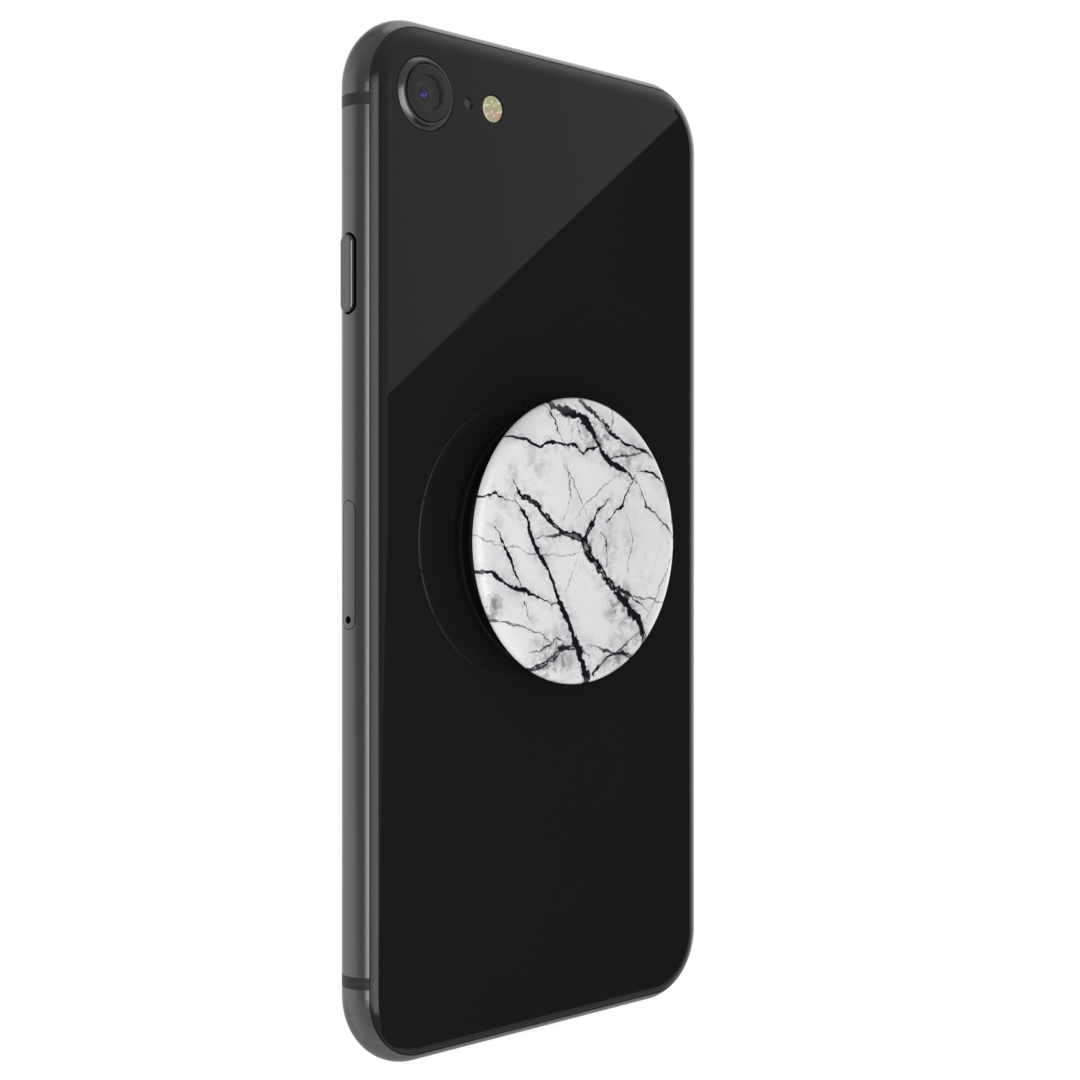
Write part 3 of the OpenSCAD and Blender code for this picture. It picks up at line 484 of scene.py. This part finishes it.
def clear_glass():
    """Clear pane, barely smoked, as polished as the rear glass."""
    made, g, inputs = material("camera_pane", IOR=1.5, Transmission_Weight=1.0)
    smoke = g.mix(g.noise(g.place(), 1.5 * MM), grey(0.74), grey(0.78))
    finish_with(g, inputs, Base_Color=smoke,
                Roughness=g.step(g.noise(g.place(), 3 * MM, 3), 0.4, 0.8, 0.0, 0.02))
    return made


def coated_lens():
    """Lens with a violet anti-reflection coating that shifts to blue at its rim."""
    made, g, inputs = material("lens_coating", Metallic=1.0)
    x, _, z = g.split(g.place())
    across, up = g.math("SUBTRACT", x, CAMERA.x), g.math("SUBTRACT", z, CAMERA.z)
    away = g.vector("LENGTH", g.join(across, up))
    colour = g.ramp(g.math("DIVIDE", away, 1.0 * MM), (0.12, (0.15, 0.09, 0.66, 1)),
                    (0.45, (0.05, 0.035, 0.25, 1)), (0.8, (0.010, 0.010, 0.05, 1)))
    finish_with(g, inputs, Base_Color=colour,
                Roughness=g.math("MULTIPLY_ADD", g.noise(g.place(), 0.4 * MM), 0.05, 0.03))
    return made


def set_material(name, made):
    data = NODES[name].data
    data.materials.clear()
    data.materials.append(made)


SPACE_GREY = (0.185, 0.186, 0.19, 1.0)
COATED, CLEAR, PEARL = coated_lens(), clear_glass(), flash_pearl()
RING = anodised("camera_ring_machined", (0.155, 0.155, 0.158, 1.0), 0.27, relief=0.1)
MARBLE = marble()
SEAL = moulded("seal_black", (0.012, 0.012, 0.013), 0.2)
FINISHES = {
    anodised("frame_anodised", SPACE_GREY, 0.21):
        ("frame_top", "frame_bottom", "frame_right_rail", "frame_left_rail", "sim_tray"),
    anodised("key_anodised", shade(SPACE_GREY, 0.95), 0.18, relief=0.1):
        ("side_button", "volume_up_button", "volume_down_button", "mute_switch"),
    moulded("band_polymer_satin", (0.022, 0.022, 0.023), 0.45, grain=0.09 * MM, ior=1.4):
        ("antenna_bands",),
    SEAL: ("rear_gasket", "display_bezel"),
    glass_black("rear_glass_black", (0.0104, 0.0104, 0.0105)): ("rear_glass",),
    cover_glass(): ("cover_glass",),
    glass_black("home_cap_black", (0.008, 0.008, 0.009), 0.05): ("home_button",),
    glass_black("display_off", (0.010, 0.0105, 0.013)): ("display_panel",),
    brushed("steel_ring_brushed", (0.30, 0.30, 0.31, 1), 0.24):
        ("home_button_ring", "bottom_screws", "bracket_screws"),
    brushed("sheet_alloy", (0.50, 0.51, 0.53, 1), 0.34):
        ("chassis_plate", "display_shield", "camera_module", "board_shields", "vibration_motor"),
    brushed("stamped_steel", (0.52, 0.52, 0.53, 1), 0.25):
        ("side_key_switch", "volume_key_switches", "sim_reader", "charge_port"),
    RING: ("camera_bezel",),
    moulded("module_moulded", (0.010, 0.010, 0.011), 0.34):
        ("camera_lens_barrel", "front_camera", "earpiece_speaker", "microphones",
         "mute_slide_switch", "loudspeaker", "port_tongue"),
    glass_black("sensor_glass", (0.012, 0.010, 0.030)): ("camera_sensor",),
    COATED: ("camera_lens",),
    CLEAR: ("camera_window",),
    PEARL: ("flash_lens",),
    moulded("phosphor", (0.75, 0.55, 0.12), 0.6): ("flash_led",),
    woven("acoustic_mesh", (0.42, 0.42, 0.43, 1), 0.26 * MM): ("earpiece_mesh", "acoustic_meshes"),
    moulded("card_white", (0.72, 0.72, 0.70), 0.4): ("sim_card",),
    moulded("battery_foil", (0.02, 0.02, 0.022), 0.3, 0.4 * MM, 0.02 * MM): ("battery",),
    moulded("tape_grey", (0.45, 0.45, 0.43), 0.7): ("battery_adhesive",),
    moulded("gel_black", (0.0065, 0.0065, 0.0065), 0.6, ior=1.12): ("grip_adhesive",),
    moulded("solder_mask", (0.01, 0.05, 0.10), 0.25): ("logic_board",),
    brushed("sintered_weight", (0.16, 0.15, 0.13, 1), 0.5): ("vibration_mass",),
    brushed("gold_plated", (0.70, 0.48, 0.17, 1), 0.2): ("port_contacts",),
    moulded("polyimide", (0.40, 0.17, 0.03), 0.3): ("dock_flex",),
    brushed("enamelled_copper", (0.55, 0.25, 0.11, 1), 0.28): ("charging_coil",),
    moulded("ferrite_sheet", (0.04, 0.04, 0.043), 0.6): ("coil_ferrite",),
    moulded("grip_satin", (0.0075, 0.0075, 0.008), 0.4, ior=1.2): ("grip_base", "grip_top_shell"),
    moulded("grip_elastomer", (0.009, 0.009, 0.0095), 0.5):
        ("grip_lower_bellows", "grip_mid_ring", "grip_upper_bellows", "grip_button"),
    MARBLE: ("grip_top_insert",),
}
for finish, names in FINISHES.items():
    for name in names:
        set_material(name, finish)


# ---- pieces ----


def lathe(profile, centre, steps=144):
    """A closed mesh turned round the Y axis through centre. profile is a loop of (radius, y)."""
    mesh = bmesh.new()
    rings = []
    for radius, y in profile:
        if radius == 0:
            rings.append([mesh.verts.new((centre.x, y, centre.z))] * steps)
            continue
        rings.append([
            mesh.verts.new((centre.x + radius * math.cos(2 * math.pi * k / steps), y,
                            centre.z + radius * math.sin(2 * math.pi * k / steps)))
            for k in range(steps)
        ])
    for ring, following in zip(rings, rings[1:] + rings[:1]):
        for k in range(steps):
            corners = (ring[k], ring[k - 1], following[k - 1], following[k])
            face = list(dict.fromkeys(corners))
            if len(face) > 2:
                mesh.faces.new(face)
    bmesh.ops.recalc_face_normals(mesh, faces=mesh.faces)
    return mesh


def piece(name, mesh, finishes, replaces=(), body=None, sharp=32):
    """A mesh as a named object of the frame. Edges sharper than sharp degrees stay sharp."""
    data = bpy.data.meshes.new(name)
    mesh.to_mesh(data)
    mesh.free()
    for finish in finishes:
        data.materials.append(finish)
    data.shade_smooth()
    data.set_sharp_from_angle(angle=math.radians(sharp))
    made = bpy.data.objects.new(name, data)
    bpy.context.scene.collection.objects.link(made)
    if body:
        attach(made, body)
    if replaces:
        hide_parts(*replaces)
    return made


def neck_stage(name, node, inner):
    """One soft stage of the grip's neck: a thin ribbed cone from the node's outer rim in to the inner
    radius, in place of the node.
    """
    low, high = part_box(node)
    centre = middle(node)
    outer = (high.z - low.z) / 2
    thick, rib = 0.28 * MM, 0.045 * MM
    ribs = 3
    steps = 36
    rise = high.y - low.y - thick
    upper = []
    for k in range(steps + 1):
        share = k / steps
        wave = rib * math.sin(2 * math.pi * ribs * share)
        upper.append((outer + (inner - outer) * share, low.y + thick + rise * share + wave))
    lower = [(radius, y - thick) for radius, y in reversed(upper)]
    lower[0] = (inner, upper[-1][1] - thick)
    finish = moulded(name + "_silicone", (0.010, 0.010, 0.0105), 0.52)
    made = piece(name, lathe(upper + lower, centre), (finish,),
                 replaces=(node,), sharp=60)
    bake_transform(made)


def make_neck():
    """Both stages of the neck, each reaching to the stiff part above it."""
    gap = 0.1 * MM
    for name, node, stiff, below, above in (
            ("grip_neck_lower", "grip_lower_bellows", "grip_mid_ring", "phone", "grip_middle"),
            ("grip_neck_upper", "grip_upper_bellows", "grip_button", "grip_middle", "grip_button")):
        low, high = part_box(stiff)
        neck_stage(name, node, (high.z - low.z) / 2 + gap)


def make_rear_seal():
    """The seal round the back glass: a channel sunk between the frame and the glass."""
    low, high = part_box("rear_gasket")
    half = (REAR_FACE - SCREEN_FACE) / 2
    corner, lip, depth, thick = 10 * MM, 0.03 * MM, 0.16 * MM, 0.5 * MM
    steps = 32
    inner = FRAME_HIGH.x - corner

    def skin(y, sunk=0.0):
        """A point of the profile: its distance from the corner's centre, and y."""
        return corner - half + math.sqrt(half ** 2 - (y - REAR_FACE + half) ** 2) - sunk, y

    profile = [skin(low.y), skin(low.y + lip), skin(low.y + lip, depth), skin(high.y - lip, depth),
               skin(high.y - lip), skin(high.y), skin(high.y, thick), skin(low.y, thick)]
    mesh = bmesh.new()
    loops = []
    for quarter, (x, z) in enumerate(((inner, BODY_HEIGHT - corner), (-inner, BODY_HEIGHT - corner),
                                      (-inner, corner), (inner, corner))):
        for k in range(steps + 1):
            turn = math.pi / 2 * (quarter + k / steps)
            loops.append([mesh.verts.new((x + r * math.cos(turn), y, z + r * math.sin(turn)))
                          for r, y in profile])
    for loop, following in zip(loops, loops[1:] + loops[:1]):
        for k in range(len(profile)):
            mesh.faces.new((loop[k], loop[k - 1], following[k - 1], following[k]))
    bmesh.ops.recalc_face_normals(mesh, faces=mesh.faces)
    piece("rear_seal_channel", mesh, (SEAL,), replaces=("rear_gasket",), body="phone")


def make_marble_disc():
    """The disc on top of the grip, flat in the middle and falling away to a rounded rim."""
    low, high = DISC_LOW.y, DISC_HIGH.y
    fall = 2.4 * MM
    steps = 24
    loop = [(0, low)]
    for k in range(steps + 1):
        turn = math.pi / 2 * k / steps
        loop.append((DISC_RADIUS - fall * (1 - math.cos(turn)), low + (high - low) * math.sin(turn)))
    piece("grip_marble_disc", lathe(loop + [(0, high)], middle("grip_top_insert"), 192), (MARBLE,),
          replaces=("grip_top_insert",), body="grip_top")


def make_camera_inside():
    """Stepped black barrel, and the domed front lens inside it."""
    low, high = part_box("camera_lens_barrel")
    top = high.y
    outer = (high.z - low.z) / 2
    black = moulded("barrel_black", (0.009, 0.009, 0.009), 0.4, grain=0.05 * MM)

    def at(radius, depth):
        """A point of a profile, from its radius and its depth under the barrel's top in mm."""
        return (radius * MM, top - depth * MM)

    bore, edge = 1.92, 0.06 * MM
    steps = [(2.30, 0.0), (2.26, 0.08), (1.98, 0.08), (1.95, 0.15), (1.70, 0.15), (1.67, 0.22),
             (1.42, 0.22), (1.38, 0.30), (1.16, 0.32), (1.00, 0.42), (0.95, 0.50), (1.30, 1.02),
             (bore, 1.60)]
    loop = ([(outer, low.y), (outer, top - edge), (outer - edge, top)]
            + [at(radius, depth) for radius, depth in steps] + [(bore * MM, low.y)])
    piece("camera_barrel_steps", lathe(loop, middle("camera_lens_barrel")), (black,),
          replaces=("camera_lens_barrel",), body="camera_barrel")

    curve, reach, rows = 1.0, 0.8, 14
    dome = []
    for k in range(rows + 1):
        lean = math.asin(reach / curve) * k / rows
        dome.append(at(curve * math.sin(lean), 0.04 + curve * (1 - math.cos(lean))))
    base = dome[-1][1] - 0.12 * MM
    piece("camera_front_lens", lathe(dome + [(reach * MM, base), (0, base)], CAMERA, 96),
          (COATED,), body="camera_barrel", sharp=50)


def make_camera_ring():
    """The ring round the camera: a machined cone with a narrow flat rim and a fine inner bevel.

    Its measures are in mm: radii from the camera's axis, and rises from the rear glass.
    """
    low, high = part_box("camera_bezel")
    outer = (high.z - low.z) / 2 / MM
    foot = outer - 0.13
    skirt = outer - 0.25
    seat = (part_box("camera_window")[1].z - CAMERA.z) / MM + 0.02
    bore, lip = seat - 0.52, seat - 0.19
    shelf, ledge = 0.15, 0.4
    sunk, crest = (low.y - REAR_FACE) / MM, (high.y - REAR_FACE) / MM

    def turned(profile):
        return lathe([(radius * MM, REAR_FACE + rise * MM) for radius, rise in profile], CAMERA, 192)

    cone = [(bore, sunk), (skirt, sunk), (skirt, 0), (foot, 0), (foot, 0.02),
            (foot - 0.02, 0.05), (foot - 0.53, crest - 0.035), (foot - 0.57, crest - 0.01),
            (foot - 0.61, crest), (lip + 0.07, crest), (lip + 0.02, crest - 0.02),
            (lip, crest - 0.06), (lip, ledge), (seat, ledge), (seat, shelf), (bore, shelf)]
    piece("camera_ring_cone", turned(cone), (RING,), replaces=("camera_bezel",),
          body="phone", sharp=24)
    seal = [(foot - 0.01, 0), (outer, 0), (outer, 0.01), (outer - 0.02, 0.02), (foot - 0.01, 0.02)]
    rubber = moulded("ring_seal_black", (0.004, 0.004, 0.004), 0.6, grain=0.04 * MM, ior=1.15)
    piece("camera_ring_seal", turned(seal), (rubber,), body="phone")


def make_camera_pane():
    """The camera's window: clear in the middle, black ink under the glass round it."""
    low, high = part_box("camera_window")
    flange = (high.z - low.z) / 2
    clear, edge, proud = 2.42 * MM, 0.06 * MM, flange - 0.35 * MM
    thick = 0.2 * MM
    steps = 4
    loop = [(0, low.y), (clear, low.y), (flange, low.y), (flange, low.y + thick),
            (proud, low.y + thick)]
    for k in range(steps + 1):
        turn = math.pi / 2 * k / steps
        loop.append((proud - edge * (1 - math.cos(turn)), high.y - edge * (1 - math.sin(turn))))
    mesh = lathe(loop + [(clear, high.y), (0, high.y)], CAMERA)
    for face in mesh.faces:
        centre = face.calc_center_median()
        away = math.hypot(centre.x - CAMERA.x, centre.z - CAMERA.z)
        face.material_index = int(away > clear)
    ink = glass_black("window_ink", (0.019, 0.019, 0.019))
    piece("camera_pane", mesh, (CLEAR, ink), replaces=("camera_window",), body="phone")


def make_flash():
    """Flash lens with a bevelled rim and a slightly domed face."""
    low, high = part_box("flash_lens")
    radius = (high.z - low.z) / 2
    rim, dome = 0.14 * MM, 0.03 * MM
    face = [(0, high.y)]
    rows = 8
    for k in range(1, rows + 1):
        share = k / rows
        face.append(((radius - rim) * share, high.y - dome * share ** 2))
    face += [(radius - 0.05 * MM, high.y - 0.08 * MM), (radius, high.y - 0.18 * MM), (radius, low.y),
             (0, low.y)]
    piece("flash_faceted_lens", lathe(face, FLASH, 96), (PEARL,),
          replaces=("flash_lens",), body="phone", sharp=40)


make_neck()
make_rear_seal()
make_marble_disc()
make_camera_inside()
make_camera_ring()
make_camera_pane()
make_flash()


# ---- camera ----

# Solved from the phone's outline in the photo, relative to the phone's middle
VIEW_AZIMUTH = math.radians(134.81)
VIEW_TILT = 0.0009
VIEW_DISTANCE = 268.67 * MM
VIEW_SIDE = 1.16 * MM
VIEW_RISE = 0.13 * MM
LENS_MM, SENSOR_MM = 62.97, 36


def make_camera():
    """The viewpoint: level, halfway between the back and the side with the side button."""
    back = Vector((math.sin(VIEW_AZIMUTH), -math.cos(VIEW_AZIMUTH), VIEW_TILT)).normalized()
    right = Vector((0, 0, 1)).cross(back).normalized()
    data = bpy.data.cameras.new("photo_camera")
    data.lens = LENS_MM
    data.sensor_width = SENSOR_MM
    data.clip_start = 0.01
    data.clip_end = 50
    camera = bpy.data.objects.new("photo_camera", data)
    bpy.context.scene.collection.objects.link(camera)
    camera.location = (BODY_MIDDLE + back * VIEW_DISTANCE + right * VIEW_SIDE
                       + Vector((0, 0, VIEW_RISE)))
    camera.rotation_mode = "QUATERNION"
    camera.rotation_quaternion = (-back).to_track_quat("-Z", "Y")
    bpy.context.scene.camera = camera


make_camera()


# ---- studio ----

# The softbox and the black flag beside it, as x and z in a plane behind the phone
KEY_PLANE = 190 * MM
KEY_EDGE = 43 * MM
KEY_LOW, KEY_HIGH = (KEY_EDGE - 6 * MM, -100 * MM), (318 * MM, 212 * MM)
KEY_RADIANCE = 2.05
FLAG_SHAPE = ((KEY_EDGE, -28 * MM), (-400 * MM, 318 * MM), (-400 * MM, -300 * MM),
              (KEY_EDGE, -300 * MM))
FLAG_GLOW = 0.015
BRIGHTEST = 1.5


def emitter(name, strength):
    """A plain glowing surface."""
    made = bpy.data.materials.new(name)
    made.use_nodes = True
    g = Graph(made.node_tree)
    light = g.node("ShaderNodeEmission", {"Color": grey(1.0), "Strength": strength})
    output = g.node("ShaderNodeOutputMaterial")
    g.tree.links.new(light.outputs[0], output.inputs["Surface"])
    return made


def flag(name, corners, strength):
    """A flat card in the softbox's plane that only reflections see."""
    data = bpy.data.meshes.new(name)
    data.from_pydata([(x, KEY_PLANE, z) for x, z in corners], [], [range(len(corners))])
    card = bpy.data.objects.new(name, data)
    bpy.context.scene.collection.objects.link(card)
    data.materials.append(emitter(name, strength))
    card.visible_camera = False
    card.visible_diffuse = False
    card.visible_shadow = False
    card.visible_transmission = False


def softbox(name, low, high, radiance):
    """A rectangular light facing the phone's back, from its low corner to its high one in x and z."""
    width, height = high[0] - low[0], high[1] - low[1]
    data = bpy.data.lights.new(name, "AREA")
    data.shape = "RECTANGLE"
    data.size, data.size_y = width, height
    data.energy = radiance * math.pi * width * height
    light = bpy.data.objects.new(name, data)
    bpy.context.scene.collection.objects.link(light)
    light.location = ((low[0] + high[0]) / 2, KEY_PLANE, (low[1] + high[1]) / 2)
    light.rotation_euler = (-math.radians(90), 0, 0)
    light.visible_camera = False

    data.use_nodes = True
    g = Graph(data.node_tree)
    u, v, _ = g.split(g.node("ShaderNodeNewGeometry").outputs["Parametric"])
    fades = []
    for along, soft in ((u, 0.05), (v, 0.12)):
        edge = g.math("SUBTRACT", 0.5, g.math("ABSOLUTE", g.math("SUBTRACT", along, 0.5)))
        fades.append(g.step(edge, 0.0, soft))
    glow = g.node("ShaderNodeEmission", {"Strength": g.math("MULTIPLY", *fades)})
    output = g.node("ShaderNodeOutputLight")
    g.tree.links.new(glow.outputs[0], output.inputs["Surface"])


def make_floor():
    """A pale floor that reflections do not see."""
    size = 3.0
    data = bpy.data.meshes.new("floor")
    data.from_pydata([(-size, -size, 0), (size, -size, 0), (size, size, 0), (-size, size, 0)], [],
                     [(0, 1, 2, 3)])
    floor = bpy.data.objects.new("floor", data)
    bpy.context.scene.collection.objects.link(floor)
    white, _, _ = material("floor_white", Roughness=0.9, Base_Color=grey(0.15),
                           Emission_Color=grey(1.0), Emission_Strength=0.95)
    data.materials.append(white)
    floor.visible_glossy = False


def make_world():
    """Brightness of the studio walls by direction; the camera itself sees plain white."""
    world = bpy.data.worlds.new("studio")
    bpy.context.scene.world = world
    world.use_nodes = True
    g = Graph(world.node_tree)
    x, y, z = g.split(g.node("ShaderNodeTexCoord").outputs["Generated"])
    turn = g.math("MULTIPLY_ADD", g.math("ARCTAN2", y, x), 0.5 / math.pi, 0.5)
    rise = g.math("MULTIPLY", g.math("ARCSINE", z), 180 / math.pi)

    def walls(direction, *stops):
        """Levels round the room: each stop is (degrees from +X towards +Y, brightness)."""
        return g.ramp(direction, *[((degrees + 180) / 360, level / BRIGHTEST)
                                   for degrees, level in stops])

    # Turn is 0 to 1 round the room and rise is in degrees; the low walls are turned by 22 degrees.
    drift = g.step(rise, -20.0, -3.0, 22 / 360, 0.0)
    level = walls(g.math("SUBTRACT", turn, drift),
                  (-180, 1.40), (-140, 1.35), (-112, 1.0), (-64, 0.92), (-26, 0.70), (-4, 0.28),
                  (34, 0.20), (60, 0.22), (91, 0.16), (115, 0.24), (131, 0.35), (150, 0.62),
                  (166, 0.88), (174, 1.25), (180, 1.40))
    high = walls(turn, (-180, 1.35), (-140, 1.15), (-126, 0.75), (-90, 0.28), (-52, 0.40),
                 (-20, 0.38), (34, 0.32), (86, 0.34), (115, 0.50), (142, 0.82), (170, 0.92),
                 (180, 1.35))
    low = walls(turn, (-180, 0.60), (-110, 0.64), (-62, 0.66), (-40, 0.80), (0, 0.55), (60, 0.34),
                (135, 0.22), (165, 0.26), (180, 0.60))
    level = g.mix(g.step(rise, 8.0, 55.0), level, high)
    level = g.mix(g.step(rise, -26.0, -6.0, 1.0, 0.0), level, low)
    level = g.mix(g.step(rise, -66.0, -44.0, 1.0, 0.0), level, grey(0.6 / BRIGHTEST))
    studio = g.node("ShaderNodeBackground", {"Color": level, "Strength": BRIGHTEST})
    plain = g.node("ShaderNodeBackground", {"Color": grey(1.0), "Strength": 1.0})
    seen = g.node("ShaderNodeLightPath").outputs["Is Camera Ray"]
    both = g.node("ShaderNodeMixShader", (seen, studio.outputs[0], plain.outputs[0]))
    output = g.node("ShaderNodeOutputWorld")
    g.tree.links.new(both.outputs[0], output.inputs["Surface"])


make_floor()
make_world()
softbox("key_softbox", KEY_LOW, KEY_HIGH, KEY_RADIANCE)
flag("black_flag", FLAG_SHAPE, FLAG_GLOW)
bpy.context.scene.view_settings.view_transform = "Standard"
